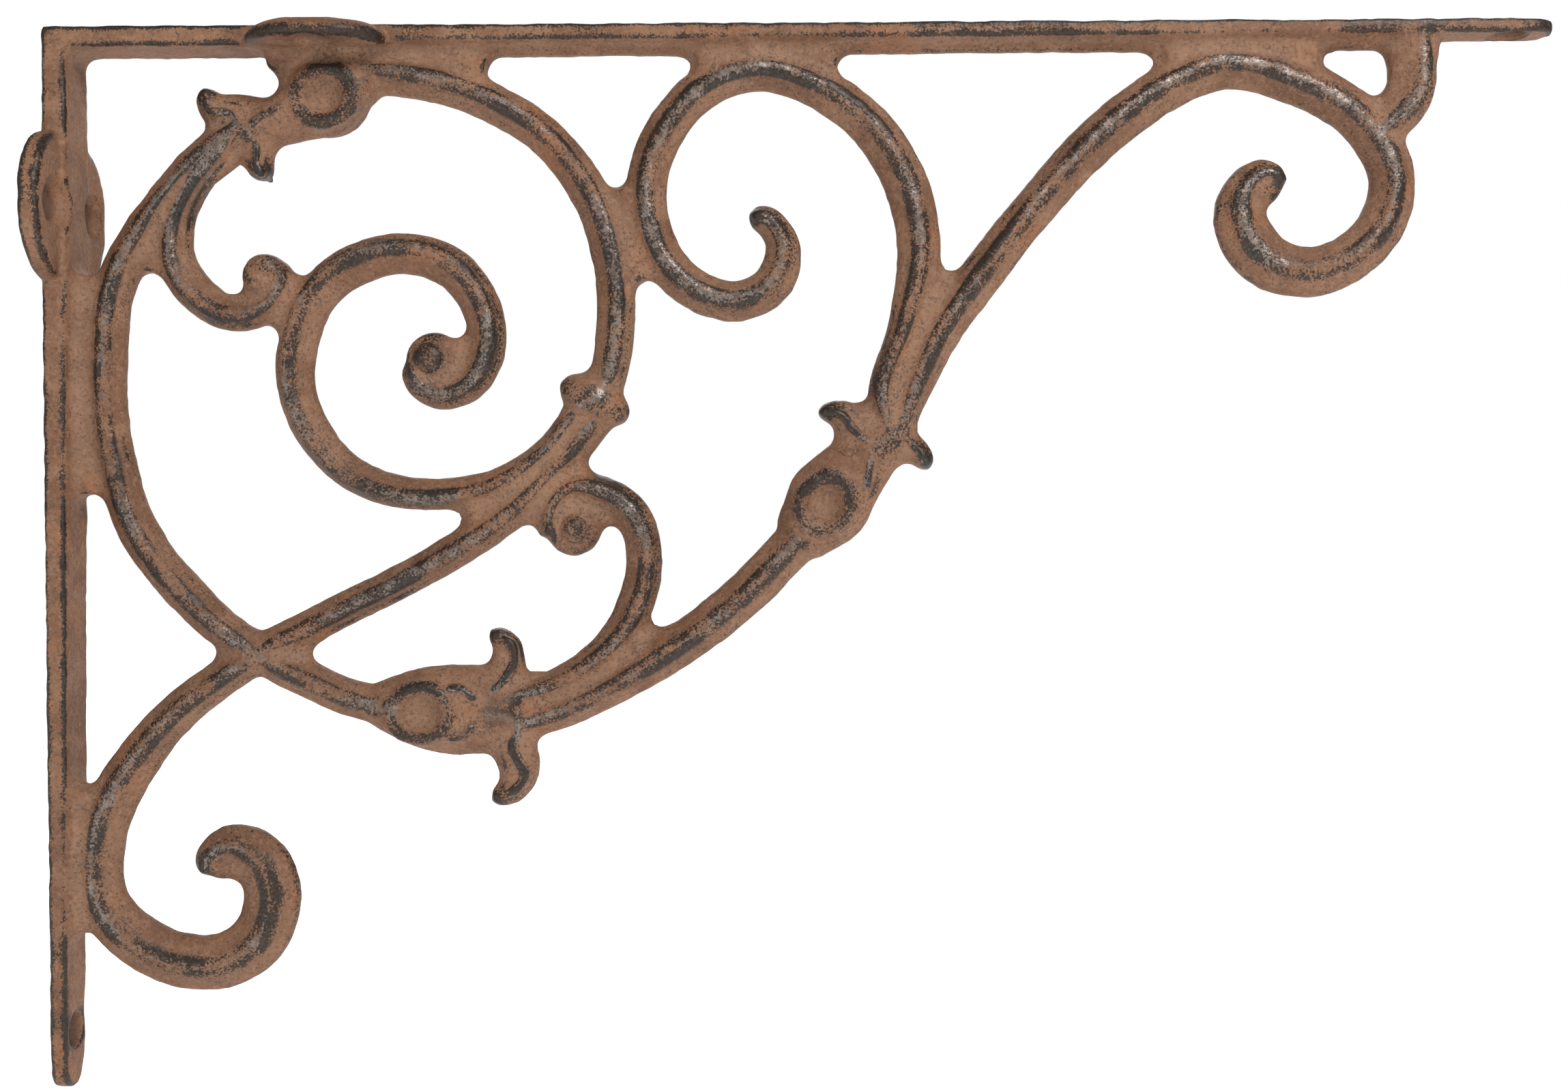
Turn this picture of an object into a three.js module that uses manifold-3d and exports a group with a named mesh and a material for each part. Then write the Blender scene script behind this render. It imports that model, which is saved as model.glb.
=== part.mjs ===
// Cast-iron shelf bracket with scrollwork, in millimetres, +Z up.
//
// X runs out from the wall, Y runs across the bracket, and the origin is on the wall plane
// at the middle of the wall pad. The bracket is one casting. It is modelled as its named
// members, which meet with a small clearance: the legs and pads, the scrolls and arcs, their
// beads, and the buds with their leaves. Every member is symmetric about the plane Y = 0.
import * as THREE from "three";
import { mergeVertices } from "three/addons/utils/BufferGeometryUtils.js";
import Module from "manifold-3d";

const wasm = await Module();
wasm.setup();

// ---------------------------------------------------------------- driving dimensions

const REACH = 295.5; // wall plane to the tip of the shelf leg
const DROP = 207.6; // shelf plane to the bottom of the wall leg
const WALL_PAD_DEPTH = 35; // shelf plane to the middle of the wall pad
const SHELF_PAD_REACH = 53.5; // wall plane to the middle of the shelf pad
const CLEARANCE = 0.3; // between neighbouring members

const LEG_THICK = 4; // legs between the pads and the corner
const WALL_LEG_THICK = [4.2, 3.4]; // below the wall pad, and at the bottom
const SHELF_LEG_THICK = [3.2, 2.7]; // beyond the shelf pad, and at the tip
const WALL_LEG_STEP = 90; // how far down the wall leg starts to thin
const SHELF_LEG_STEP = 72; // how far out the shelf leg has thinned
const CORNER_HALF = [5.7, 6]; // half width across Y at the corner, and at the wall pad
const WALL_LEG_HALF = [[35, 6.4], [60, 5.9], [100, 5.7], [160, 5.2], [203.2, 4.6]]; // [down, half]
const SHELF_LEG_HALF = [[53.5, 5.8], [75, 5.3], [130, 5.2], [230, 4.8], [291.1, 4.3]]; // [out, half]
const TIP_CHAMFER = [3, 1.2]; // under the shelf leg's tip, along and up
const RIB_DEPTH = 2.1; // rib under the shelf leg, below its flange
const RIB_HALF = [2.2, 1.5]; // at its root, and at its bottom
const RIB_END = 266;
const CORNER_ROUND = 1.2;
const CORNER_FILLET = 2.4;

const PAD_THICK = 4.3;
const WALL_PAD_HALF = [16.7, 15.2]; // across Y, and along Z
const SHELF_PAD_HALF = [14.4, 15]; // along X, and across Y
const PAD_ROUNDNESS = 2.4; // exponent of the superellipse outline

const SCREW_RADIUS = 3;
const SCREW_MOUTH = 4.8;
const SCREW_SINK = 1.9; // depth of the countersink
const SCREW_OFFSET = 8.9; // each side of a pad's middle
const END_SCREW_MOUTH = 3.7;
const WALL_END_SCREW = 11.2; // above the bottom of the wall leg
const SHELF_END_SCREW = 8.5; // in from the tip of the shelf leg

const BEAD_RISE = 4.3; // half the thickness of a scroll at its ridge
const WEB_RISE = 2.8; // half the thickness of the fillet webs
const BUD_RISE = 4.9;
const LEAF_RISE = 3.5;
const DIMPLE_DEPTH = 2.4;

const STATION = 4; // spacing of the sections along a member
const RIM_SIDES = 36; // corners of a pad's outline
const TURN_SIDES = 18; // corners of a turned piece

// Sections across a member: how far out to the side, and what share of the rise.
const BEAD = [[1, 0.2], [0.55, 0.8], [0, 1]];
const FLAT = [[1, 0.92], [0, 1]];
const SWELL = [[1, 0.2], [0.72, 0.8], [0, 1]];

// ---------------------------------------------------------------- solids

function solidOf(geometry) {
  const bare = geometry.clone();
  bare.deleteAttribute("normal");
  bare.deleteAttribute("uv");
  const merged = mergeVertices(bare, 1e-4);
  return new wasm.Manifold(
    new wasm.Mesh({
      numProp: 3,
      vertProperties: new Float32Array(merged.attributes.position.array),
      triVerts: new Uint32Array(merged.index.array),
    }),
  );
}

function geometryOf(solid) {
  const mesh = solid.getMesh();
  const geometry = new THREE.BufferGeometry();
  geometry.setAttribute("position", new THREE.BufferAttribute(mesh.vertProperties, 3));
  geometry.setIndex(new THREE.BufferAttribute(mesh.triVerts, 1));
  geometry.computeVertexNormals();
  return geometry;
}

// Keeps the main body of a cut piece and drops the offcuts beyond a joint.
function mainBody(solid) {
  return solid.decompose().reduce((best, body) => (body.volume() > best.volume() ? body : best));
}

// A closed skin over rings of points that correspond, with flat ends.
function skin(rings) {
  const sides = rings[0].length;
  const last = (rings.length - 1) * sides;
  const faces = [];
  for (let r = 0; r < last; r += sides) {
    for (let i = 0; i < sides; i++) {
      const j = (i + 1) % sides;
      faces.push(r + i, r + j, r + sides + j, r + i, r + sides + j, r + sides + i);
    }
  }
  for (let i = 1; i < sides - 1; i++) {
    faces.push(0, i + 1, i, last, last + i, last + i + 1);
  }
  const geometry = new THREE.BufferGeometry();
  geometry.setAttribute("position", new THREE.Float32BufferAttribute(rings.flat(2), 3));
  geometry.setIndex(faces);
  return solidOf(geometry);
}

// A shape drawn in the XZ plane and extruded across Y, half to each side.
function acrossY(shape, halfDepth, curveSegments = 6) {
  const geometry = new THREE.ExtrudeGeometry(shape, {
    depth: 2 * halfDepth,
    bevelEnabled: false,
    curveSegments,
  });
  return solidOf(geometry.rotateX(Math.PI / 2).translate(0, halfDepth, 0));
}

// A shape drawn in the YZ plane and extruded along X.
function alongX(shape, from, to, curveSegments = 6) {
  const turn = new THREE.Matrix4().makeBasis(
    new THREE.Vector3(0, 1, 0),
    new THREE.Vector3(0, 0, 1),
    new THREE.Vector3(1, 0, 0),
  );
  const geometry = new THREE.ExtrudeGeometry(shape, {
    depth: to - from,
    bevelEnabled: false,
    curveSegments,
  });
  return solidOf(geometry.applyMatrix4(turn).translate(from, 0, 0));
}

// A shape drawn in the XY plane and extruded up Z.
function upZ(shape, from, to, curveSegments = 6) {
  const geometry = new THREE.ExtrudeGeometry(shape, {
    depth: to - from,
    bevelEnabled: false,
    curveSegments,
  });
  return solidOf(geometry.translate(0, 0, from));
}

function polygon(points) {
  return new THREE.Shape(points.map(([a, b]) => new THREE.Vector2(a, b)));
}

// ---------------------------------------------------------------- members along a curve

// Reads a list of evenly spaced values at a share of the way along.
function valueAt(values, share) {
  const place = share * (values.length - 1);
  const index = Math.min(Math.floor(place), values.length - 2);
  return THREE.MathUtils.lerp(values[index], values[index + 1], place - index);
}

// Where the sections stand, and how far each is drawn in: a free tip is rounded off.
function stations(length, tipRadius) {
  const plain = length - tipRadius;
  const count = Math.max(2, Math.ceil(plain / STATION));
  const list = [];
  for (let i = 0; i <= count; i++) {
    list.push({ distance: (plain * i) / count, scale: 1 });
  }
  if (tipRadius > 0) {
    for (const degrees of [35, 62, 80]) {
      const angle = THREE.MathUtils.degToRad(degrees);
      list.push({ distance: plain + tipRadius * Math.sin(angle), scale: Math.cos(angle) });
    }
  }
  return list;
}

// A member follows its ridge line in the XZ plane. left and right are the flank widths on
// each side of the ridge, seen from -Y and looking along the line; grow makes it larger.
function member({ path, left, right, rise = BEAD_RISE, section = BEAD, tip = false }, grow = 0) {
  const points = path.map(([x, z]) => new THREE.Vector3(x, 0, z));
  const curve = new THREE.CatmullRomCurve3(points, false, "centripetal");
  curve.arcLengthDivisions = 400;
  const length = curve.getLength();
  const tipRadius = tip ? (left.at(-1) + right.at(-1)) / 2 : 0;
  const places = stations(length, tipRadius);
  const rings = places.map(({ distance, scale }, index) => {
    const share = Math.min(distance / length, 1);
    const ahead = curve.getTangentAt(share);
    const centre = curve.getPointAt(share);
    if (index === 0) centre.addScaledVector(ahead, -grow);
    if (index === places.length - 1) centre.addScaledVector(ahead, grow);
    const leftWidth = valueAt(left, share) * scale + grow;
    const rightWidth = valueAt(right, share) * scale + grow;
    const height = rise * (0.35 + 0.65 * scale) + grow;
    const half = [
      ...section.map(([side, up]) => [side * leftWidth, up * height]),
      ...section.slice(0, -1).reverse().map(([side, up]) => [-side * rightWidth, up * height]),
    ];
    const ring = [...half, ...half.map(([side, up]) => [side, -up]).reverse()];
    return ring.map(([side, up]) => [
      centre.x - ahead.z * side,
      -up,
      centre.z + ahead.x * side,
    ]);
  });
  return skin(rings);
}

// A bead member together with the low webs that fill its acute corners.
function webbed(bead, webs, grow) {
  return webs.reduce(
    (whole, web) => whole.add(member({ rise: WEB_RISE, section: FLAT, ...web }, grow)),
    member(bead, grow),
  );
}

// A piece turned about an axis along Y, from a profile of [radius, height] in front of Y = 0.
function turned([x, z], profile, grow = 0) {
  const front = profile.map(([radius, height]) => [radius && radius + grow, height + grow]);
  const back = front.map(([radius, height]) => [radius, -height]).reverse();
  const points = [...back, ...front].map(([radius, height]) => new THREE.Vector2(radius, height));
  return solidOf(new THREE.LatheGeometry(points, TURN_SIDES).translate(x, 0, z));
}

// ---------------------------------------------------------------- screw holes

// A countersunk hole's cutter. It runs along direction from the back face to the mouth.
function screwCutter([x, y, z], direction, thickness, mouth) {
  const over = 1;
  const slope = (mouth - SCREW_RADIUS) / SCREW_SINK;
  const profile = [
    [0, -over],
    [SCREW_RADIUS, -over],
    [SCREW_RADIUS, thickness - SCREW_SINK],
    [mouth + over * slope, thickness + over],
    [0, thickness + over],
  ];
  const points = profile.map(([radius, height]) => new THREE.Vector2(radius, height));
  const turn = new THREE.Quaternion().setFromUnitVectors(
    new THREE.Vector3(0, 1, 0),
    new THREE.Vector3(...direction),
  );
  const geometry = new THREE.LatheGeometry(points, TURN_SIDES);
  return solidOf(geometry.applyQuaternion(turn).translate(x, y, z));
}

// ---------------------------------------------------------------- pads

// Rings of a pad: at each level the superellipse outline is drawn in by an inset.
function padSolid(half, levels, place, grow) {
  const rings = levels.map(([level, inset]) => {
    const ring = [];
    for (let i = 0; i < RIM_SIDES; i++) {
      const angle = (2 * Math.PI * i) / RIM_SIDES;
      const [a, b] = [Math.cos(angle), Math.sin(angle)].map(
        (part, axis) =>
          Math.sign(part) * Math.abs(part) ** (2 / PAD_ROUNDNESS) * (half[axis] - inset + grow),
      );
      ring.push(place(a, b, level));
    }
    return ring;
  });
  return skin(rings);
}

function wallPad(grow = 0) {
  const levels = [[-grow, 0], [PAD_THICK * 0.7, 0.5], [PAD_THICK + grow, 1.6]];
  return padSolid(WALL_PAD_HALF, levels, (y, z, x) => [x, y, z - WALL_PAD_DEPTH], grow);
}

function shelfPad(grow = 0) {
  const levels = [[-PAD_THICK - grow, 1.3], [-PAD_THICK * 0.7, 0.2], [-1.3, 0], [grow, 3.6]];
  return padSolid(SHELF_PAD_HALF, levels, (x, y, z) => [x + SHELF_PAD_REACH, y, z], grow);
}

function withScrewPair(pad, middle, direction) {
  return [-1, 1].reduce((plate, side) => {
    const place = [middle[0], side * SCREW_OFFSET, middle[1]];
    return plate.subtract(screwCutter(place, direction, PAD_THICK, SCREW_MOUTH));
  }, pad);
}

// ---------------------------------------------------------------- legs

// The outline of a leg across Y: half widths at places along it, and a rounded far end.
function legOutline(stops, end, turnedDown) {
  const shape = new THREE.Shape();
  const lay = (along, across) => (turnedDown ? [across, -along] : [along, across]);
  const side = stops.map(([along, half]) => new THREE.Vector2(...lay(along, half)));
  const otherSide = stops.map(([along, half]) => new THREE.Vector2(...lay(along, -half)));
  const endHalf = stops.at(-1)[1];
  const start = stops.at(-1)[0];
  shape.moveTo(side[0].x, side[0].y);
  shape.splineThru(side.slice(1));
  for (const degrees of [30, 55, 75, 90, 105, 125, 150]) {
    const angle = THREE.MathUtils.degToRad(degrees);
    const [a, b] = lay(start + (end - start) * Math.sin(angle), endHalf * Math.cos(angle));
    shape.lineTo(a, b);
  }
  shape.lineTo(otherSide.at(-1).x, otherSide.at(-1).y);
  shape.splineThru(otherSide.slice(0, -1).reverse());
  return shape;
}

const LEG_MAX = 12; // half depth of the blanks that the leg outlines are cut from

// The angle between the two pads, with its rounded corner and inner fillet.
function cornerAngle(grow = 0) {
  const far = SHELF_PAD_REACH;
  const inner = LEG_THICK + grow;
  const profile = new THREE.Shape();
  profile.moveTo(-grow, -WALL_PAD_DEPTH);
  profile.lineTo(-grow, grow - CORNER_ROUND);
  profile.absarc(CORNER_ROUND - grow, grow - CORNER_ROUND, CORNER_ROUND, Math.PI, Math.PI / 2, true);
  profile.lineTo(far, grow);
  profile.lineTo(far, -inner);
  profile.lineTo(inner + CORNER_FILLET, -inner);
  profile.absarc(
    inner + CORNER_FILLET, -inner - CORNER_FILLET, CORNER_FILLET, Math.PI / 2, Math.PI, false,
  );
  profile.lineTo(inner, -WALL_PAD_DEPTH);
  const bar = acrossY(profile, LEG_MAX);
  const [top, foot] = CORNER_HALF;
  const low = -WALL_PAD_DEPTH - 1;
  const across = polygon([[-top, 5], [top, 5], [foot, low], [-foot, low]]);
  return bar.intersect(alongX(across, -5, far + 1));
}

function wallLeg(grow = 0) {
  const top = -WALL_PAD_DEPTH;
  const [thick, thin] = WALL_LEG_THICK.map((value) => value + grow);
  const profile = polygon([
    [-grow, top],
    [-grow, -DROP],
    [thin, -DROP],
    [thick, -WALL_LEG_STEP],
    [thick, top],
  ]);
  const outline = legOutline(WALL_LEG_HALF, DROP, true);
  return acrossY(profile, LEG_MAX).intersect(alongX(outline, -5, 10, 3));
}

function shelfLeg(grow = 0) {
  const start = SHELF_PAD_REACH;
  const [thick, thin] = SHELF_LEG_THICK.map((value) => -value - grow);
  const profile = polygon([
    [start, grow],
    [start, -LEG_THICK],
    [SHELF_LEG_STEP, thick],
    [REACH - TIP_CHAMFER[0], thin],
    [REACH, thin + TIP_CHAMFER[1]],
    [REACH, grow],
  ]);
  const outline = legOutline(SHELF_LEG_HALF, REACH, false);
  const inFlange = -SHELF_LEG_THICK[1] / 2;
  const ribBottom = -SHELF_LEG_THICK[0] - RIB_DEPTH - grow;
  const [root, bottom] = [RIB_HALF[0], RIB_HALF[1] + grow];
  const rib = polygon([[-root, inFlange], [root, inFlange], [bottom, ribBottom], [-bottom, ribBottom]]);
  return acrossY(profile, LEG_MAX)
    .intersect(upZ(outline, -10, 5, 3))
    .add(alongX(rib, start, RIB_END));
}

// ---------------------------------------------------------------- scrolls and arcs

// Each path runs along the ridge as [distance from the wall, height above the shelf plane].

const RING_LEFT = {
  path: [[38, -19], [28, -27], [18, -39.5], [12.6, -50], [10.9, -66], [12.2, -83], [17, -98.5],
    [26.5, -111], [36, -119.5], [44, -124.4]],
  left: [3.4, 3.7, 3.6, 3.5, 3.5, 3.2, 2.8],
  right: [4, 3.8, 4.4, 4.5, 4.5, 4.3, 4.2],
};
const RING_LEFT_WEBS = [
  { path: [[6.2, -48.5], [5.8, -70], [6.6, -91]], left: [2.4, 2.2, 2.2], right: [3, 3, 3] },
  { path: [[30, -28], [24, -35.5], [20.3, -42.5], [18.8, -47]], left: [0.5, 2, 4], right: [0.5, 2, 3] },
];

const RING_BOTTOM = {
  path: [[44.3, -124.6], [50, -127.6], [58, -131.2], [68, -133.4]],
  left: [2.6, 2.6, 3.4],
  right: [4, 4.1, 4],
};

const TOP_ARCH = {
  path: [[56, -8], [70, -9], [83, -12.4], [97.3, -20.8], [106.6, -33], [110.6, -44.5], [111.4, -57],
    [109.4, -68.8], [107.3, -73]],
  left: [3.6, 3.6, 3.5, 3.4, 3.2, 3.1, 3.4],
  right: [4.2, 3.9, 3.7, 3.6, 3.8, 4.1, 3.6],
};
const TOP_ARCH_WEBS = [
  { path: [[58, -6.2], [72, -6], [85.5, -8.2]], left: [3, 3, 2], right: [3, 3, 2] },
  { path: [[112.4, -32], [113.6, -42], [114.6, -50]], left: [0.8, 1.6, 1.6], right: [0.8, 2, 2.4] },
];

const SPIRAL_TURN = {
  path: [[107, -72.6], [102.6, -76.4], [97, -83.2], [86.5, -90], [76.5, -92.2], [65.5, -91.3],
    [56.5, -86.9], [50.3, -79.6], [46.9, -70.5], [47.2, -61.5], [50.6, -52]],
  left: [3.6, 3.2, 2.6, 2.1, 2.1, 2.5, 2.8],
  right: [2.8, 2.6, 3, 3.8, 4.2, 4.3, 4.5],
};
const SPIRAL_TURN_WEBS = [
  { path: [[100, -82.3], [93, -89.3], [86, -94], [82, -96.2]], left: [1, 1.6, 2, 2], right: [1, 1.6, 2, 2.4] },
];
const SPIRAL_CURL = {
  path: [[50.6, -52], [57.5, -45.8], [68, -42.9], [78.5, -45.9], [84.6, -53.2], [86.1, -62],
    [82.8, -69.5], [76.5, -71.9], [72, -69.4], [70.9, -65]],
  left: [3, 2.8, 2.8, 3, 3.2, 3.1, 3, 2.8],
  right: [4.6, 5.2, 5.4, 5, 4.8, 4.8, 4, 2.6],
  tip: true,
};

const DIAGONAL = {
  path: [[106, -78], [101.2, -84], [95, -90.5], [86, -98.2], [70.5, -107.4], [52.5, -116.4], [38, -123.6]],
  left: [3.6, 3.2, 3.1, 3.1, 3.1],
  right: [3.6, 3.6, 3.6, 3.5, 3.5],
};

const LOWER_SCROLL = {
  path: [[42, -121.8], [32.5, -127.8], [25.2, -133.2], [18.3, -140.4], [12.5, -148.6], [9, -156.5],
    [8, -164.5], [9.8, -172.5]],
  left: [3.5, 3.5, 3.7, 4.5, 5],
  right: [3.9, 3.6, 3.9, 4.4, 4.6],
};
const LOWER_SCROLL_WEBS = [
  { path: [[5.6, -149], [4.8, -163], [5.6, -176.5]], left: [2.4, 2.4, 2.4], right: [2.4, 2.4, 2.4] },
];
const LOWER_CURL = {
  path: [[9.8, -172.5], [16, -178.8], [24, -182.8], [33.2, -183], [40, -178.8], [43, -170.5],
    [40.7, -162.9], [34.7, -160], [30.4, -162.4], [29, -166]],
  left: [5, 4.8, 4.5, 5.4, 5.8, 5.8, 5, 2.2],
  right: [4.7, 5, 5.2, 5.5, 5.6, 5.2, 4.6, 2.4],
  tip: true,
};

const BUD_SCROLL = {
  path: [[37, -19.5], [27.6, -31.2], [24.2, -40], [24.4, -46], [27.6, -51.6], [33, -55.5], [38.5, -56],
    [43, -54]],
  left: [3, 2.9, 3, 4.2, 4.9, 4.5],
  right: [3.8, 3.9, 3.9, 3.5, 3.2, 3.2],
};
const BUD_SCROLL_WEBS = [
  { path: [[46.2, -49], [45.8, -54], [44.6, -58.3]], left: [2, 2, 2], right: [2, 2, 2] },
];

const MIDDLE_LIMB = {
  path: [[164.5, -80], [163, -71.3], [167.6, -58.3], [170.6, -45.3], [168.7, -31.8], [162, -20.1],
    [151.6, -12.1], [140, -8.6]],
  left: [2.6, 2.4, 4.2, 4.6, 4.6],
  right: [4, 4.4, 4.4, 4.2, 4],
};
const MIDDLE_LIMB_WEBS = [
  { path: [[165.5, -75], [168.5, -65], [171.8, -56], [174.2, -50.4]], left: [1, 1.8, 2], right: [1, 1.8, 2] },
  { path: [[140, -5.6], [148, -5.6], [154.6, -7.2]], left: [2, 2, 1.6], right: [2, 2, 1.6] },
];
const MIDDLE_CURL = {
  path: [[140, -8.6], [129.3, -11.6], [120.7, -20.7], [117, -33], [119.9, -44.4], [126.2, -51.2],
    [134.5, -53.6], [141.3, -50.7], [143.8, -44], [141.4, -38.6], [137.2, -36.8]],
  left: [4.6, 4, 3.7, 3.8, 4, 3.8, 3.9, 2.2],
  right: [4, 4.2, 4.3, 4.3, 4.2, 4.2, 4.2, 2.2],
  tip: true,
};
const MIDDLE_CURL_WEBS = [
  { path: [[127.8, -7.2], [134, -5.6], [140, -5.6]], left: [1.6, 2, 2], right: [1.6, 2, 2] },
];

const RIGHT_STEM = {
  path: [[166.4, -80], [169.7, -70.9], [174.6, -60.3], [183.6, -47.6], [196.6, -31.2], [208, -19.8],
    [220.4, -11.4], [231.5, -8]],
  left: [3.6, 4.2, 3.9, 3.5, 3.8],
  right: [2.6, 4.1, 4.8, 5.2, 5.4],
};
const RIGHT_STEM_WEBS = [
  { path: [[219.5, -6.8], [226, -5.2], [232, -5.2]], left: [1.6, 2, 2], right: [1.6, 2, 2] },
];
const RIGHT_CURL = {
  path: [[231.5, -8], [245, -11.6], [257.2, -19], [263.4, -30], [261.2, -40], [254.6, -46.4],
    [246.8, -48.9], [238.8, -46.8], [234, -40.8], [233.8, -34], [237.8, -29.8], [242.8, -31]],
  left: [4, 4.6, 5.2, 5.2, 5, 5.2, 5.4, 4.8, 2.2],
  right: [5.3, 4.3, 3.9, 3.9, 3.9, 4.4, 5.8, 5.2, 1.8],
  tip: true,
};
const RIGHT_CURL_WEBS = [
  { path: [[232, -5.2], [241, -5.2], [248.6, -7]], left: [2, 2, 2], right: [2, 2.4, 2.4] },
];

const TIP_CURL = {
  path: [[269.2, -3], [269.4, -10], [268.8, -13.8], [266, -17.8], [261, -21.5]],
  left: [4.2, 3.3, 3.7, 4.2],
  right: [7, 6, 5.8, 4.6],
};

const LOWER_ARC = {
  path: [[149, -98], [143.4, -104], [136.7, -110.8], [126, -119.4], [112.6, -127.6], [100.8, -133.4],
    [91, -136.6]],
  left: [4.4, 4.4, 4.4, 4, 3.8],
  right: [4.4, 4.3, 4.3, 4.1, 3.6],
};
const LOWER_ARC_WEBS = [
  { path: [[100, -130.4], [107.5, -127.2], [114.4, -121.8]], left: [1.4, 2, 1.4], right: [1.4, 2, 2.8] },
];

const C_SCROLL = {
  path: [[98, -99.5], [97.8, -95.7], [99.7, -91.8], [103.2, -90], [109, -91.2], [114.2, -95],
    [116.8, -102], [116.2, -110], [112.6, -118], [106.4, -124.2], [98.5, -128.8], [91, -131]],
  left: [2.6, 2.6, 2.7, 2.8, 3.4, 3.8],
  right: [3, 4, 4.5, 4.4, 3.2, 2.4],
};

// ---------------------------------------------------------------- buds and leaves

const TOP_BUD = {
  path: [[38.5, -20.8], [46, -17.4], [54, -13.6], [62.5, -10.8]],
  left: [4, 5.4, 7.4, 5],
  right: [3.8, 4.9, 7, 3.6],
};
const TOP_BUD_WEBS = [
  { path: [[45.5, -9.2], [53, -7], [60, -6.6]], left: [3, 3.4, 3], right: [3, 3.4, 3] },
];
const RIGHT_BUD = {
  path: [[165.5, -80.5], [158.5, -88], [152, -95], [146.5, -101]],
  left: [4, 5, 7.6, 5.4],
  right: [4, 7.8, 9, 6],
};
const BOTTOM_BUD = {
  path: [[63, -133], [69, -133.6], [76, -134], [84, -133.8], [92, -133.6]],
  left: [4.6, 7.3, 8.4, 8, 5.6],
  right: [3.9, 6.6, 8.1, 8.2, 6.4],
};

const LEAVES = {
  top_bud_upper_leaf: {
    path: [[41, -17], [36, -15.6], [32, -14.2], [30.6, -11.6]],
    left: [3.6, 4.2, 4.2, 2.2],
    right: [4, 3.8, 2.4, 2],
  },
  top_bud_lower_leaf: {
    path: [[40, -20], [40.8, -25], [41.8, -29.4]],
    left: [4.4, 3, 1.7],
    right: [4, 3.4, 2.2],
  },
  right_bud_upper_leaf: {
    path: [[161.5, -83], [158, -79.4], [155.4, -76.8], [151.4, -75.4]],
    left: [5, 4.6, 3.2, 1.8],
    right: [5, 4.8, 3.8, 2.2],
  },
  right_bud_lower_leaf: {
    path: [[165, -81.5], [168.6, -82.6], [171, -84.6], [172, -87.4]],
    left: [3.4, 2.8, 2, 1.6],
    right: [4.8, 4.2, 3, 1.8],
  },
  bottom_bud_upper_leaf: {
    path: [[88, -131.5], [89.6, -125.4], [89, -121.2], [86.6, -118.8]],
    left: [5, 4.2, 3.4, 1.8],
    right: [4.2, 3.2, 2.8, 1.8],
  },
  bottom_bud_lower_leaf: {
    path: [[90.5, -136], [91, -142], [91.4, -146.4], [89.6, -149.8], [86.6, -151.4]],
    left: [4.6, 3.8, 3.6, 3.2, 1.8],
    right: [5, 5, 4.4, 3, 1.8],
  },
};

// A bud is a swollen member with a round dimple in the middle of each face.
function bud(swell, webs, dimple, dimpleRadius, grow) {
  const body = webbed({ ...swell, rise: BUD_RISE, section: SWELL }, webs, grow);
  if (grow > 0) return body;
  const face = BUD_RISE * 0.97;
  const cutter = (side) => {
    const profile = [[0, face - DIMPLE_DEPTH], [dimpleRadius * 0.7, face - DIMPLE_DEPTH],
      [dimpleRadius, face + 1], [0, face + 1]];
    const points = profile.map(([radius, height]) => new THREE.Vector2(radius, height));
    const geometry = new THREE.LatheGeometry(points, TURN_SIDES);
    if (side < 0) geometry.rotateX(Math.PI);
    return solidOf(geometry.translate(dimple[0], 0, dimple[1]));
  };
  return body.subtract(cutter(1)).subtract(cutter(-1));
}

// ---------------------------------------------------------------- beads and bulbs

const COLLAR_PLACE = [106.5, -73.2];
const COLLAR_HALF = [7.5, 5.6, 4.4]; // along the band, thickness across Y, and across the band
const COLLAR_TILT = THREE.MathUtils.degToRad(29);

function collar(grow = 0) {
  const [a, b, c] = COLLAR_HALF.map((value) => value + grow);
  const geometry = new THREE.SphereGeometry(1, TURN_SIDES, 12);
  geometry.scale(a, b, c).rotateY(COLLAR_TILT).translate(COLLAR_PLACE[0], 0, COLLAR_PLACE[1]);
  return solidOf(geometry);
}

// A domed bulb that ends a small scroll.
const bulb = (place, radius) => (grow = 0) =>
  turned(place, [[radius, 1], [radius * 0.82, 3.2], [radius * 0.45, 4.5], [0, 4.8]], grow);

// The eye of the large spiral: a low disc with a round boss on each face.
const eye = (place, radius) => (grow = 0) =>
  turned(place, [[radius, 2.2], [3.9, 2.8], [3.4, 3.9], [2, 4.6], [0, 4.8]], grow);

// ---------------------------------------------------------------- the assembly

const plain = (shape) => (grow = 0) => member(shape, grow);
const withWebs = (shape, webs) => (grow = 0) => webbed(shape, webs, grow);
const budOf = (swell, webs, place, radius) => (grow = 0) => bud(swell, webs, place, radius, grow);

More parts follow.
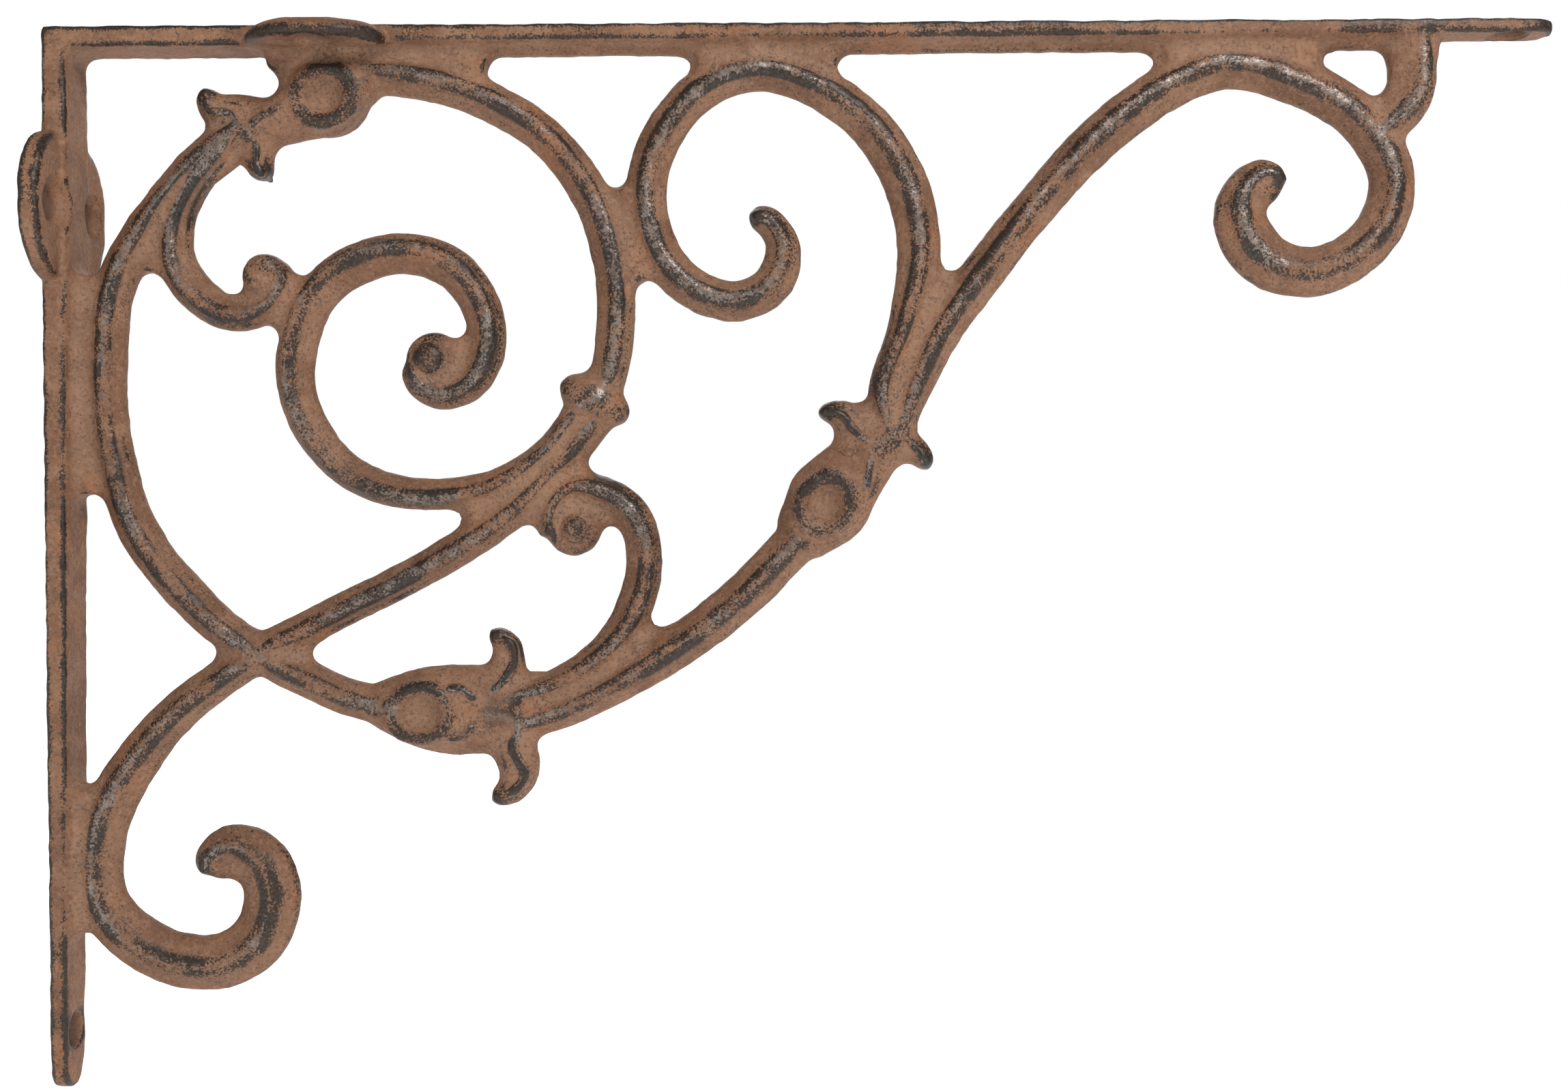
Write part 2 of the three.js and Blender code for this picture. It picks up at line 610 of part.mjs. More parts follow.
// Each piece is cut back to a clearance from every piece that comes before it.
const PIECES = [
  ["wall_pad", wallPad],
  ["shelf_pad", shelfPad],
  ["corner_angle", cornerAngle],
  ["wall_leg", wallLeg],
  ["shelf_leg", shelfLeg],
  ["top_bud", budOf(TOP_BUD, TOP_BUD_WEBS, [54.4, -13.6], 3.8)],
  ["right_bud", budOf(RIGHT_BUD, [], [151.8, -94.2], 3.4)],
  ["bottom_bud", budOf(BOTTOM_BUD, [], [73, -134.2], 3.6)],
  ["collar_bead", collar],
  ["ring_left_arc", withWebs(RING_LEFT, RING_LEFT_WEBS)],
  ["ring_bottom_arc", plain(RING_BOTTOM)],
  ["top_arch", withWebs(TOP_ARCH, TOP_ARCH_WEBS)],
  ["bud_scroll_bulb", bulb([42.2, -48.3], 5)],
  ["bud_scroll", withWebs(BUD_SCROLL, BUD_SCROLL_WEBS)],
  ["spiral_turn", withWebs(SPIRAL_TURN, SPIRAL_TURN_WEBS)],
  ["spiral_curl", plain(SPIRAL_CURL)],
  ["spiral_eye", eye([75, -65.2], 5.9)],
  ["diagonal_stem", plain(DIAGONAL)],
  ["lower_scroll_stem", withWebs(LOWER_SCROLL, LOWER_SCROLL_WEBS)],
  ["lower_scroll_curl", plain(LOWER_CURL)],
  ["middle_scroll_limb", withWebs(MIDDLE_LIMB, MIDDLE_LIMB_WEBS)],
  ["middle_scroll_curl", withWebs(MIDDLE_CURL, MIDDLE_CURL_WEBS)],
  ["right_scroll_stem", withWebs(RIGHT_STEM, RIGHT_STEM_WEBS)],
  ["right_scroll_curl", withWebs(RIGHT_CURL, RIGHT_CURL_WEBS)],
  ["tip_curl", plain(TIP_CURL)],
  ["c_scroll_bulb", bulb([102.3, -98.5], 5.3)],
  ["c_scroll", plain(C_SCROLL)],
  ["lower_right_arc", withWebs(LOWER_ARC, LOWER_ARC_WEBS)],
  ...Object.entries(LEAVES).map(([name, shape]) => [
    name,
    plain({ ...shape, rise: LEAF_RISE, tip: true }),
  ]),
];

// Screw holes go in after the joints are cut.
const DRILLING = {
  wall_pad: (plate) => withScrewPair(plate, [0, -WALL_PAD_DEPTH], [1, 0, 0]),
  shelf_pad: (plate) => withScrewPair(plate, [SHELF_PAD_REACH, 0], [0, 0, -1]),
  wall_leg: (leg) =>
    leg.subtract(
      screwCutter([0, 0, WALL_END_SCREW - DROP], [1, 0, 0], WALL_LEG_THICK[1], END_SCREW_MOUTH),
    ),
  shelf_leg: (leg) =>
    leg.subtract(
      screwCutter([REACH - SHELF_END_SCREW, 0, 0], [0, 0, -1], SHELF_LEG_THICK[1], END_SCREW_MOUTH),
    ),
};

const IRON = { color: 0x8a5c46, roughness: 0.8, metalness: 0.35 };

const bracket = new THREE.Group();
bracket.position.z = WALL_PAD_DEPTH;

const earlier = [];
for (const [name, build] of PIECES) {
  let solid = earlier.reduce((whole, grown) => whole.subtract(grown), build());
  solid = mainBody(solid);
  if (DRILLING[name]) solid = DRILLING[name](solid);
  const mesh = new THREE.Mesh(geometryOf(solid), new THREE.MeshStandardMaterial(IRON));
  mesh.name = name;
  bracket.add(mesh);
  earlier.push(build(CLEARANCE));
}

export default bracket;
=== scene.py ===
"""The looks of the cast-iron scroll bracket: one rough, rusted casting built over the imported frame.

The members are lofted in millimetres from their ridge lines, fused into one skin with cast fillets,
roughened, and then divided again along the CAD nodes' joints, so that each visible piece stands for
one node.
"""

import bpy
import numpy as np
import openvdb
from mathutils import Matrix, Vector
from mathutils.bvhtree import BVHTree
from mathutils.kdtree import KDTree


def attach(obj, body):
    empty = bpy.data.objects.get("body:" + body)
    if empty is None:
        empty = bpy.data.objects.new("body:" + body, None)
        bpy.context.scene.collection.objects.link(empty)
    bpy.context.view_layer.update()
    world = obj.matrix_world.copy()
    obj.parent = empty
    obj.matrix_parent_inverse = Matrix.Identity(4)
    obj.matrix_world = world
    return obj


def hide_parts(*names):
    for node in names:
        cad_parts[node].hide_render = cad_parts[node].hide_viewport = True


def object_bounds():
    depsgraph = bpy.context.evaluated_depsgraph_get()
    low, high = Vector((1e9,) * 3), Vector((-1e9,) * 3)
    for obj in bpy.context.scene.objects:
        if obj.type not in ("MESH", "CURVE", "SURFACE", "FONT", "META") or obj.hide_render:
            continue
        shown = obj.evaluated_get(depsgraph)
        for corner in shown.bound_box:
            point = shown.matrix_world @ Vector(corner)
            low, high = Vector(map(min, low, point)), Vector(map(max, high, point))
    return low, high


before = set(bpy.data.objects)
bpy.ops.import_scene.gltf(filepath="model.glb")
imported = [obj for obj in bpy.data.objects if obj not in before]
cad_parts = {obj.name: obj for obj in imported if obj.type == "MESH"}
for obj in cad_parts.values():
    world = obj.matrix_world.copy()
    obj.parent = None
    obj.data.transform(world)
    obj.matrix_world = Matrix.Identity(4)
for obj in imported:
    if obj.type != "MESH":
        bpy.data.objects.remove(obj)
CAD_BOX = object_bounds()

MM = 0.001
ROW_Z = 35.0  # the shelf plane is this far above the row's origin
REACH, DROP = 295.5, 207.6
VOXEL = 0.42  # of the fused skin
FILLET = 2.2  # where members run into each other
FILLET_BAND = 7  # voxels of distance kept each side of the skin, more than FILLET
DETAIL_BAND = 3  # the same, for the crisp details
STEP = 1.0  # spacing of a loft's sections
RISE = 4.3  # half the thickness of a scroll at its ridge
WEB_RISE, BUD_RISE, LEAF_RISE = 2.7, 4.5, 3.3  # the same, of the other members
BUD_FACE = 4.6  # half the thickness of a bud where its dimple is cut
LEG_END_ROUND, RIB_END_ROUND = 4.4, 1.0
WAVES = [(0.13, 6.0, 1), (0.11, 2.8, 2), (0.07, 1.3, 3)]  # height, wavelength and seed of the cast skin

# Each loft: [x, z] along the ridge, z up from the shelf plane; then flank widths to the left
# and right of the ridge, seen from -Y and looking along it, as evenly spaced stops.
SCROLLS = {
    "ring_left": (
        [(38, -19), (28, -27), (18, -39.5), (12.6, -50), (10.9, -66), (12.2, -83), (17, -98.5),
         (26.5, -111), (36, -119.5), (44.3, -124.6), (50, -127.6), (58, -131.2), (68, -133.4)],
        [3.4, 3.7, 3.5, 3.3, 3.3, 3.5, 3.4, 3.3, 3.5], [4, 3.8, 4.4, 4.5, 4.5, 4.3, 4.1, 4, 4], False),
    "top_arch": (
        [(56, -8), (70, -9), (83, -12.4), (97.3, -20.8), (106.6, -33), (110.6, -44.5),
         (111.4, -57), (109.4, -68.8), (107.3, -73)],
        [3.6, 3.6, 3.5, 3.5, 3.4, 3.2, 3.4], [4.3, 4.1, 4.2, 4.2, 4.5, 4.5, 3.8], False),
    "spiral": (
        [(107, -72.6), (102.6, -76.4), (97, -83.2), (86.5, -90), (76.5, -92.2), (65.5, -91.3),
         (56.5, -86.9), (50.3, -79.6), (46.9, -70.5), (47.2, -61.5), (50.6, -52), (57.5, -45.8),
         (68, -42.9), (78.5, -45.9), (84.6, -53.2), (86.1, -62), (82.8, -69.5), (76.5, -71.9),
         (72, -69.4), (70.9, -65)],
        [3.6, 3.2, 2.4, 2.2, 2.5, 2.9, 2.9, 2.8, 3.2, 3.1, 3, 2.8],
        [2.8, 2.7, 3.6, 4.2, 4.4, 4.6, 5.1, 5.4, 4.9, 4.8, 4, 2.6], True),
    "diagonal": (
        [(106, -78), (101.2, -84), (95, -90.5), (86, -98.2), (70.5, -107.4), (52.5, -116.4),
         (42, -121.8), (32.5, -127.8), (25.2, -133.2), (18.3, -140.4), (12.5, -148.6),
         (9, -156.5), (8, -164.5), (9.8, -172.5), (16, -178.8), (24, -182.8), (33.2, -183),
         (40, -178.8), (43, -170.5), (40.7, -162.9), (34.7, -160), (30.4, -162.4), (29, -166)],
        [3.6, 3.4, 3.3, 3.3, 3.3, 3.5, 3.6, 4.6, 5, 4.6, 5.3, 6, 6.6, 3.6],
        [3.6, 3.6, 3.6, 3.5, 3.6, 3.8, 4, 4.5, 4.8, 5.2, 5.5, 5.3, 4.6, 2.6], True),
    "bud_scroll": (
        [(37, -19.5), (27.6, -31.2), (24.2, -40), (24.4, -46), (27.6, -51.6), (33, -55.5),
         (38.5, -56), (43.5, -53.6), (45.6, -49.2), (43.4, -45.8)],
        [3, 2.7, 2.5, 3.6, 4.3, 4, 3, 2], [3.8, 3.9, 3.9, 3.5, 3.2, 3, 2.6, 2], True),
    "middle_scroll": (
        [(164.5, -80), (163, -71.3), (167.6, -58.3), (170.6, -45.3), (168.7, -31.8), (162, -20.1),
         (151.6, -12.1), (140, -8.6), (129.3, -11.6), (120.7, -20.7), (117, -33), (119.9, -44.4),
         (126.2, -51.2), (134.5, -53.6), (141.3, -50.7), (143.8, -44), (141.4, -38.6), (137.2, -36.8)],
        [2.6, 2.4, 4.2, 4.6, 4.6, 4, 3.7, 3.8, 4, 3.8, 3.9, 2.4],
        [4, 4.4, 4.4, 4.2, 4, 4.2, 4.3, 4.3, 4.2, 4.2, 4.2, 2.4], True),
    "right_scroll": (
        [(166.4, -80), (169.7, -70.9), (174.6, -60.3), (183.6, -47.6), (196.6, -31.2), (208, -19.8),
         (220.4, -11.4), (231.5, -8), (245, -11.6), (257.2, -19), (263.4, -30), (261.2, -40),
         (254.6, -46.4), (246.8, -48.9), (238.8, -46.8), (234, -40.8), (233.8, -34), (237.8, -29.8),
         (242.8, -31)],
        [3.6, 4.2, 3.9, 3.5, 3.8, 4.1, 4.9, 5.2, 5.1, 5, 5, 2.4],
        [2.6, 4.1, 4.6, 4.9, 5.2, 5, 4.3, 4, 4, 4.8, 6.6, 2.4], True),
    "tip_curl": (
        [(269.2, -3), (269.4, -10), (268.8, -13.8), (266, -17.8), (261, -21.5)],
        [4.2, 3.3, 3.7, 4.2], [7, 6, 5.8, 4.6], False),
    "lower_arc": (
        [(149, -98), (143.4, -104), (136.7, -110.8), (126, -119.4), (112.6, -127.6), (100.8, -133.4),
         (91, -136.6)],
        [4.4, 4.4, 4.4, 4, 3.8], [4.4, 4.3, 4.3, 4.1, 3.6], False),
    "c_scroll": (
        [(98, -99.5), (97.8, -95.7), (99.7, -91.8), (103.2, -90), (109, -91.2), (114.2, -95),
         (116.8, -102), (116.2, -110), (112.6, -118), (106.4, -124.2), (98.5, -128.8), (91, -131)],
        [2.6, 2.6, 2.7, 2.8, 3.4, 3.8], [3, 4, 4.5, 4.4, 3.2, 2.4], False),
}

# Low webs in the acute corners: ridge line, left widths, right widths.
WEBS = [
    ([(6.2, -48.5), (5.8, -70), (6.6, -91)], [2.4, 2.2, 2.2], [3, 3, 3]),
    ([(30, -28), (24, -35.5), (20.3, -42.5), (18.8, -47)], [0.5, 2, 4], [0.5, 2, 3]),
    ([(58, -6.2), (72, -6), (85.5, -8.2)], [3, 3, 2], [3, 3, 2]),
    ([(43.6, -5.6), (48.2, -8.2), (54, -7.2), (60, -6.6)], [1.8, 2.8, 3.2, 3], [1.8, 2.6, 3.2, 3]),
    ([(112.4, -32), (113.6, -42), (114.6, -50)], [0.8, 1.6, 1.6], [0.8, 2, 2.4]),
    ([(100, -82.3), (93, -89.3), (86, -94), (82, -96.2)], [1, 1.6, 2, 2], [1, 1.6, 2, 2.4]),
    ([(5.6, -149), (4.8, -163), (5.6, -176.5)], [2.4, 2.4, 2.4], [2.4, 2.4, 2.4]),
    ([(46.2, -49), (45.8, -54), (44.6, -58.3)], [2, 2, 2], [2, 2, 2]),
    ([(165.5, -75), (168.5, -65), (171.8, -56), (174.2, -50.4)], [1, 1.8, 2], [1, 1.8, 2]),
    ([(127.8, -7.2), (134, -5.6), (148, -5.6), (154.6, -7.2)], [1.6, 2, 2, 1.6], [1.6, 2, 2, 1.6]),
    ([(219.5, -6.8), (226, -5.2), (241, -5.2), (248.6, -7)], [1.6, 2, 2, 2], [1.6, 2, 2.4, 2.4]),
    ([(100, -130.4), (107.5, -127.2), (114.4, -121.8)], [1.4, 2, 1.4], [1.4, 2, 2.8]),
]

# Buds and leaves: ridge line, left widths, right widths.
BUDS = [
    ([(38.5, -20.8), (46, -17.4), (54, -13.6), (62.5, -10.8)], [4, 5.6, 7.8, 5], [3.8, 4.9, 7.8, 3.4]),
    ([(165.5, -80.5), (158.5, -88), (152, -95), (146.5, -101)], [4, 5.4, 8.4, 5.2], [4, 8, 9.6, 5.8]),
    ([(63, -133), (69, -133.6), (76, -134), (84, -133.8), (92, -133.6)],
     [4.6, 8.2, 9.2, 8.6, 6.2], [3.9, 7.2, 9, 9, 6.8]),
]

# The raised rim round each bud's dimple: centre, half sizes along and across, degrees it is turned.
RIMS = [
    ((54.6, -13.4), (5.6, 4.9), 25),
    ((151.9, -93.8), (5.5, 4.6), 47),
    ((72.6, -134.1), (5.9, 4.6), 0),
]

LEAVES = [
    ([(41, -17), (36, -15.8), (32, -14.4), (30.2, -11.2)], [3.8, 4.4, 4, 1.7], [4, 3.8, 2.6, 1.4]),
    ([(40, -20), (40.8, -25), (41.8, -29.4)], [4.4, 3, 1.7], [4, 3.4, 2.2]),
    ([(161.5, -83), (157.8, -79.4), (154.8, -76.6), (150.4, -75.6)],
     [5, 5, 2.6, 1.2], [5, 4.8, 3.4, 1.3]),
    ([(165, -81.5), (168.6, -82.6), (171, -84.6), (172, -87.4)], [3.6, 3, 2.3, 1.2], [4.8, 4.2, 2.8, 1.2]),
    ([(88, -131.5), (89.4, -125.4), (88.8, -121.2), (85.8, -118.3)],
     [5, 4.4, 3.4, 1.2], [4.2, 3.2, 2.9, 1.4]),
    ([(90.5, -136), (91, -142), (91.4, -146.4), (89.6, -149.8), (85.8, -151.6)],
     [4.6, 3.8, 3.8, 3.2, 1.2], [5, 5, 4.6, 3.4, 1.5]),
]

# Narrow ridges laid on both faces: path, radius, and how high their middle stands.
FACE_RIDGES = [
    ([(38.8, -19.6), (35.6, -16.9), (32.2, -16.2), (30.9, -13.2)], 0.9, 3.1),
    ([(39.4, -19.8), (41, -22.8), (41, -27), (42.4, -29.4)], 0.9, 3.1),
    ([(39.6, -19.6), (44, -17), (47.8, -14.8)], 0.9, 4.2),
    ([(164, -81.2), (160.4, -81.8), (157.2, -79.2), (155.2, -76.7), (152.2, -75.6)], 0.9, 3.2),
    ([(164.2, -81), (167.6, -81.3), (169.9, -83.5), (171.8, -86)], 0.9, 3.1),
    ([(162.6, -83), (160.9, -85), (159.5, -91)], 0.8, 4.0),
    ([(83.4, -131.6), (80.4, -129.6), (77.6, -129.4)], 0.9, 4.2),
    ([(83, -136.4), (80.4, -138.6), (77.4, -138.9)], 0.9, 4.2),
    ([(85.6, -131), (88.7, -128), (90.6, -124.6), (90.4, -121.4), (88.6, -119.2)], 1.0, 3.2),
    ([(84.6, -134.6), (89.2, -135.2), (91.4, -137.6), (90.3, -140.6), (91.5, -143.6), (92.6, -146.4),
      (91.2, -149), (88.6, -150.6)], 1.0, 3.2),
]

# Dimples: centre, radius, depth. Bulbs and bosses: centre, radius, height.
DIMPLES = [((54.6, -13.4), 3.7, 2.2), ((151.9, -93.8), 3.5, 2.1), ((72.8, -134.1), 3.8, 2.0)]
BULBS = [
    ((238, -31.6), 4.3, 3.7), ((33, -162.8), 4.2, 3.7), ((42.0, -48.2), 4.3, 4.5),
    ((102.3, -98.3), 5.4, 3.6), ((75, -65.2), 5.6, 3.4),
]
BOSSES = [((102.5, -98.4), 3.1, 4.9), ((74.4, -65.1), 3.6, 5.0)]
COLLAR_PLACE, COLLAR_HALF, COLLAR_TILT = (106.5, -73.2), (7.5, 5.5, 4.4), np.radians(29)

# Flat bars: (distance along, half width, thickness).
WALL_LEG = [(0, 5.7, 4.4), (20, 5.9, 4.9), (34, 6.1, 5), (50, 6, 4.9), (60, 5.9, 4.4), (90, 5.7, 4.2),
            (160, 5.2, 3.7), (DROP, 4.6, 3.4)]
SHELF_LEG = [(0, 5.7, 4), (53, 5.7, 4), (72, 5.3, 3.2), (130, 5.2, 3.2), (230, 4.8, 3), (REACH, 4.3, 2.7)]
SHELF_RIB = [(45, 0.9, 2), (58, 1.5, 4.8), (66, 1.9, 5.2), (150, 1.9, 5.2), (262, 1.8, 5.1), (266, 1.2, 4)]

# Pads: half sizes, then (height off the mounting face, how far the outline is drawn in).
WALL_PAD_HALF = (16.7, 15.2)
SHELF_PAD_HALF, SHELF_PAD_REACH = (14.4, 15), 53.5
WALL_PAD = [(0, 0.4), (0.4, 0), (3.0, 0.1), (3.5, 0.35), (3.8, 0.8), (3.95, 1.5)]
SHELF_PAD = [(0, 4.4), (0.4, 2.9), (1.0, 1.6), (1.7, 0.7), (2.4, 0.2), (2.9, 0), (3.5, 0.15), (4.0, 0.5),
             (4.3, 1.2)]

# Countersunk holes: the face they go through, their place on it, that face's thickness, mouth radius.
# Places are (y, z) on the wall face and (x, y) on the shelf face.
HOLE_RADIUS = 3.0
SINK = 1.9
SCREW_HOLES = [
    ("wall", (-8.9, 0.0), 3.95, 4.8),
    ("wall", (8.9, 0.0), 3.95, 4.8),
    ("wall", (0.0, ROW_Z - DROP + 11.2), 3.4, 3.7),
    ("shelf", (SHELF_PAD_REACH, -8.9), 4.3, 4.8),
    ("shelf", (SHELF_PAD_REACH, 8.9), 4.3, 4.8),
    ("shelf", (REACH - 8.5, 0.0), 2.7, 3.7),
]


# ---------------------------------------------------------------- closed shells, in mm

class Soup:
    """Closed shells that overlap, kept as one list of points and faces."""

    def __init__(self):
        self.points, self.quads, self.tris, self.count = [], [], [], 0

    def rings(self, rings):
        """A closed skin over rings of equal count, with fanned ends."""
        rings = np.asarray(rings, float)
        n, m = rings.shape[:2]
        base = self.count
        ends = rings[[0, -1]].mean(axis=1)
        self.points += [rings.reshape(-1, 3), ends]
        self.count += n * m + 2
        r = np.arange(n - 1)[:, None] * m + base
        i = np.arange(m)[None, :]
        j = (i + 1) % m
        self.quads.append(np.stack([r + i, r + j, r + m + j, r + m + i], -1).reshape(-1, 4))
        i, j = np.arange(m), (np.arange(m) + 1) % m
        first, last = base + n * m, base + (n - 1) * m
        self.tris.append(np.stack([j + base, i + base, np.full(m, first)], -1))
        self.tris.append(np.stack([i + last, j + last, np.full(m, first + 1)], -1))

    def arrays(self):
        return (np.vstack(self.points).astype(np.float32), np.vstack(self.tris).astype(np.uint32),
                np.vstack(self.quads).astype(np.uint32))


def spline(points, step=STEP):
    """Centripetal Catmull-Rom through the points, at even steps: places and unit tangents."""
    p = np.array(points, float)
    p = np.vstack([2 * p[0] - p[1], p, 2 * p[-1] - p[-2]])
    fine = []
    for a, b, c, d in zip(p, p[1:], p[2:], p[3:]):
        t0, t1 = 0.0, np.linalg.norm(b - a) ** 0.5
        t2 = t1 + np.linalg.norm(c - b) ** 0.5
        t3 = t2 + np.linalg.norm(d - c) ** 0.5
        t = np.linspace(t1, t2, 24, endpoint=False)[:, None]
        a1 = (t1 - t) / (t1 - t0) * a + (t - t0) / (t1 - t0) * b
        a2 = (t2 - t) / (t2 - t1) * b + (t - t1) / (t2 - t1) * c
        a3 = (t3 - t) / (t3 - t2) * c + (t - t2) / (t3 - t2) * d
        b1 = (t2 - t) / (t2 - t0) * a1 + (t - t0) / (t2 - t0) * a2
        b2 = (t3 - t) / (t3 - t1) * a2 + (t - t1) / (t3 - t1) * a3
        fine.append((t2 - t) / (t2 - t1) * b1 + (t - t1) / (t2 - t1) * b2)
    fine = np.vstack(fine + [p[-2][None]])
    along = np.concatenate([[0], np.cumsum(np.linalg.norm(np.diff(fine, axis=0), axis=1))])
    even = np.linspace(0, along[-1], max(4, int(np.ceil(along[-1] / step)) + 1))
    places = np.stack([np.interp(even, along, fine[:, k]) for k in range(2)], 1)
    ahead = np.gradient(places, axis=0)
    return places, ahead / np.linalg.norm(ahead, axis=1, keepdims=True), even


def stops(values, count):
    """Evenly spaced values at so many stations, eased so that no corner shows at a stop."""
    straight = np.interp(np.linspace(0, 1, count), np.linspace(0, 1, len(values)), values)
    reach = min(int(0.45 * count / len(values)) + 1, count - 1)
    weights = np.hanning(2 * reach + 3)[1:-1]
    padded = np.pad(straight, reach, mode="reflect", reflect_type="odd")
    return np.convolve(padded, weights / weights.sum(), mode="valid")


# A member's section: shares of the flank's width, and the share of the rise at each.
RIDGED = ([0, 0.16, 0.3, 0.41, 0.54, 0.72, 0.88, 0.96, 1],
          [1, 0.985, 0.925, 0.83, 0.69, 0.54, 0.39, 0.26, 0.1])
SWELL = ([0, 0.3, 0.55, 0.75, 0.9, 1], [1, 0.96, 0.86, 0.68, 0.44, 0.14])
FLAT = ([0, 0.8, 1], [1, 0.94, 0.6])


def loft(soup, path, left, right, rise=RISE, profile=RIDGED, tip=False):
    """A member of ridged section along its ridge line; a free tip is rounded off."""
    places, ahead, even = spline(path)
    length, n = even[-1], len(even)
    scale = np.ones(n)
    if tip:
        radius = (left[-1] + right[-1]) / 2
        into = np.clip((even - (length - radius)) / radius, 0, 0.985)
        scale = np.sqrt(1 - into ** 2)
    share = np.linspace(1, -1, 33)
    up = np.interp(np.abs(share), *profile)
    side = np.concatenate([share, share[::-1]])
    lift = np.concatenate([up, -up[::-1]])
    wide_left, wide_right = stops(left, n) * scale, stops(right, n) * scale
    high = rise * (0.35 + 0.65 * scale)
    rings = []
    for k in range(n):
        s = np.where(side > 0, side * wide_left[k], side * wide_right[k])
        x = places[k, 0] - ahead[k, 1] * s
        z = places[k, 1] + ahead[k, 0] * s + ROW_Z
        rings.append(np.stack([x, -lift * high[k], z], 1))
    soup.rings(rings)


def face_ridge(soup, path, radius, height):
    """A small round bead laid along a path on each face."""
    places, ahead, even = spline(path, 0.6)
    n = len(even)
    share = np.linspace(0, 1, n)
    size = radius * np.clip(np.minimum(share, 1 - share) * 6 + 0.35, 0, 1)
    turn = np.linspace(0, 2 * np.pi, 12, endpoint=False)
    for face in (-1, 1):
        rings = [
            np.stack([
                places[k, 0] - ahead[k, 1] * np.cos(turn) * size[k],
                face * (height + np.sin(turn) * size[k]),
                places[k, 1] + ROW_Z + ahead[k, 0] * np.cos(turn) * size[k],
            ], 1) for k in range(n)
        ]
        soup.rings(rings)


def rim_line(centre, half, degrees):
    """The middle line of a bud's rim, as a closed loop of (x, z) points."""
    turn, tilt = np.linspace(0, 2 * np.pi, 61), np.radians(degrees)
    a, b = half[0] * np.cos(turn), half[1] * np.sin(turn)
    return np.stack([centre[0] + a * np.cos(tilt) - b * np.sin(tilt),
                     centre[1] + a * np.sin(tilt) + b * np.cos(tilt)], 1)


def rim(soup, centre, half, degrees, radius=1.9, height=3.5):
    """A rounded ring laid on both faces."""
    line = rim_line(centre, half, degrees)
    out = (line - centre) / np.linalg.norm(line - centre, axis=1, keepdims=True)
    turn = np.linspace(0, 2 * np.pi, 16, endpoint=False)
    for face in (-1, 1):
        soup.rings([
            np.stack([x + u * np.cos(turn) * radius, face * (height + np.sin(turn) * radius),
                      z + ROW_Z + w * np.cos(turn) * radius], 1)
            for (x, z), (u, w) in zip(line, out)
        ])


def ball(soup, centre, half, tilt=0.0, power=2.0):
    """An ellipsoid turned about Y, closed at its poles along Y."""
    polar = np.linspace(0.04, np.pi - 0.04, 25)
    turn = np.linspace(0, 2 * np.pi, 40, endpoint=False)
    rings = []
    for a in polar:
        r = np.sin(a) ** (2 / power)
        x, z = np.cos(turn) * r * half[0], np.sin(turn) * r * half[2]
        y = np.full_like(turn, np.sign(np.cos(a)) * abs(np.cos(a)) ** (2 / power) * half[1])
        rings.append(np.stack([
            x * np.cos(tilt) + z * np.sin(tilt) + centre[0], y,
            z * np.cos(tilt) - x * np.sin(tilt) + centre[1] + ROW_Z], 1))
    soup.rings(rings)


def rounded_box_ring(half_a, low, high, corner=0.7):
    """A rectangle |a| < half_a, low < b < high with rounded corners, as (a, b) points."""
    points = []
    for sign, b, start in ((1, high, 0), (-1, high, 90), (-1, low, 180), (1, low, 270)):
        for degrees in (0, 30, 60, 90):
            t = np.radians(start + degrees)
            points.append((sign * (half_a - corner) + corner * np.cos(t),
                           b - np.sign(b - (low + high) / 2) * corner + corner * np.sin(t)))
    return np.array(points)


def leg(soup, stations, place, end_round):
    """A flat bar: stations of (distance along, half width, thickness), and a rounded end."""
    s = np.array(stations, float)
    end = s[-1, 0]
    along = np.concatenate([np.arange(s[0, 0], end - end_round, 2.0),
                            end - end_round * (1 - np.sin(np.radians([0, 20, 40, 55, 68, 79, 86])))])
    rings = []
    for a in along:
        into = max(0.0, (a - (end - end_round)) / end_round)
        shrink = np.sqrt(max(1 - into ** 2, 0.003))
        half = np.interp(a, s[:, 0], s[:, 1]) * shrink
        thick = np.interp(a, s[:, 0], s[:, 2])
        ring = rounded_box_ring(half, 0.0, thick, min(0.7, half * 0.6))
        rings.append(np.array([place(a, u, t) for u, t in ring]))
    soup.rings(rings)


def pad(soup, half, levels, place, power=2.4):
    """A superellipse plate: levels of (height, how far the outline is drawn in)."""
    turn = np.linspace(0, 2 * np.pi, 96, endpoint=False)
    c, s = np.cos(turn), np.sin(turn)
    a, b = np.sign(c) * abs(c) ** (2 / power), np.sign(s) * abs(s) ** (2 / power)
    soup.rings([
        np.array([place(x, y, level) for x, y in zip(a * (half[0] - inset), b * (half[1] - inset))])
        for level, inset in levels
    ])


